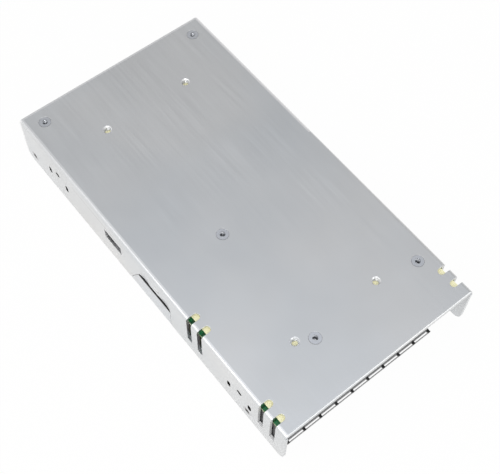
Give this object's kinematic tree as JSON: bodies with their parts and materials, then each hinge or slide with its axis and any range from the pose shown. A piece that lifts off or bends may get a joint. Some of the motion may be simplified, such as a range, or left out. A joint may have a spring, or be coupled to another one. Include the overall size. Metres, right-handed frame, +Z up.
{
  "type": "enclosed switching power supply",
  "caption": "Slim enclosed switching power supply lying on its perforated cover, folded aluminium base plate up, screw terminals at one end, range selector in the side wall.",
  "frame": {"origin": "centre of the bounding box at its lowest face, the plane that the cover lies on", "axes": "+Y along the length from the terminal end to the rear, +Z up through the base plate, +X across the width away from the wall with the range selector"},
  "size_m": [0.115, 0.215, 0.03],
  "materials": {
    "case_aluminium": "bare rolled sheet, satin",
    "zinc_screw": "zinc plated",
    "standoff_steel": "nickel plated",
    "cream_film": "smooth film",
    "board_green": "solder mask over laminate",
    "terminal_black": "moulded",
    "tinned_contact": "tinned",
    "trimmer_blue": "moulded",
    "trimmer_dial": "moulded",
    "lamp_green": "tinted lens",
    "selector_black": "moulded",
    "selector_grey": "moulded",
    "fan_black": "moulded",
    "coil_copper": "enamelled copper wire",
    "socket_white": "moulded",
    "bar_aluminium": "extruded",
    "pad_grey": "filled silicone",
    "device_black": "moulded",
    "ferrite": "sintered",
    "bobbin_black": "moulded",
    "tape_yellow": "polyester tape over wire",
    "fuse_glass": "clear",
    "thermistor_green": "coated",
    "capacitor_yellow": "moulded",
    "capacitor_blue": "dipped",
    "can_sleeve": "shrunk sleeve",
    "resistor_grey": "lacquered"
  },
  "bodies": {
    "case": {"board_screws": "zinc_screw", "board_standoffs": "standoff_steel", "bridge_rectifier": "device_black", "bulk_capacitors": "can_sleeve", "chassis": "case_aluminium", "circuit_board": "board_green", "control_chip": "device_black", "cover": "case_aluminium", "cover_screws": "zinc_screw", "device_pads": "pad_grey", "device_screws": "zinc_screw", "driver_transformer_bobbin": "bobbin_black", "driver_transformer_core": "ferrite", "driver_transformer_winding": "tape_yellow", "fan_frame": "fan_black", "fan_screws": "zinc_screw", "fan_socket": "socket_white", "fan_stator": "coil_copper", "fuse_caps": "tinned_contact", "fuse_tube": "fuse_glass", "heat_bars": "bar_aluminium", "insulation_sheet": "cream_film", "line_capacitors": "capacitor_yellow", "line_choke_core": "ferrite", "line_choke_feet": "bobbin_black", "line_choke_windings": "coil_copper", "load_resistors": "resistor_grey", "main_transformer_bobbin": "bobbin_black", "main_transformer_core": "ferrite", "main_transformer_winding": "tape_yellow", "optocouplers": "device_black", "output_capacitors": "can_sleeve", "output_choke_core": "ferrite", "output_choke_winding": "coil_copper", "output_rectifiers": "device_black", "power_transistors": "device_black", "safety_capacitors": "capacitor_blue", "selector_body": "selector_black", "small_capacitors": "can_sleeve", "status_lamp": "lamp_green", "terminal_block": "terminal_black", "terminal_clamps": "tinned_contact", "terminal_contacts": "tinned_contact", "terminal_screws": "tinned_contact", "thermistor": "thermistor_green", "trim_pot_body": "trimmer_blue", "wall_pads": "pad_grey"},
    "selector_slider": {"selector_slider": "selector_grey"},
    "trim_rotor": {"trim_pot_rotor": "trimmer_dial"},
    "fan_wheel": {"fan_rotor": "fan_black"}
  },
  "joints": [
    {"name": "range_selector", "type": "slide", "parent": "case", "child": "selector_slider", "axis": [0, 1, 0], "range_m": [0, 0.0048]},
    {"name": "voltage_trim", "type": "hinge", "parent": "case", "child": "trim_rotor", "pos_m": [0.0465, -0.0975, 0.0196], "axis": [0, 0, 1], "range_deg": [-135, 135]},
    {"name": "fan_spin", "type": "hinge", "parent": "case", "child": "fan_wheel", "pos_m": [0.02, 0.057, 0.006], "axis": [0, 0, 1], "continuous": true}
  ]
}
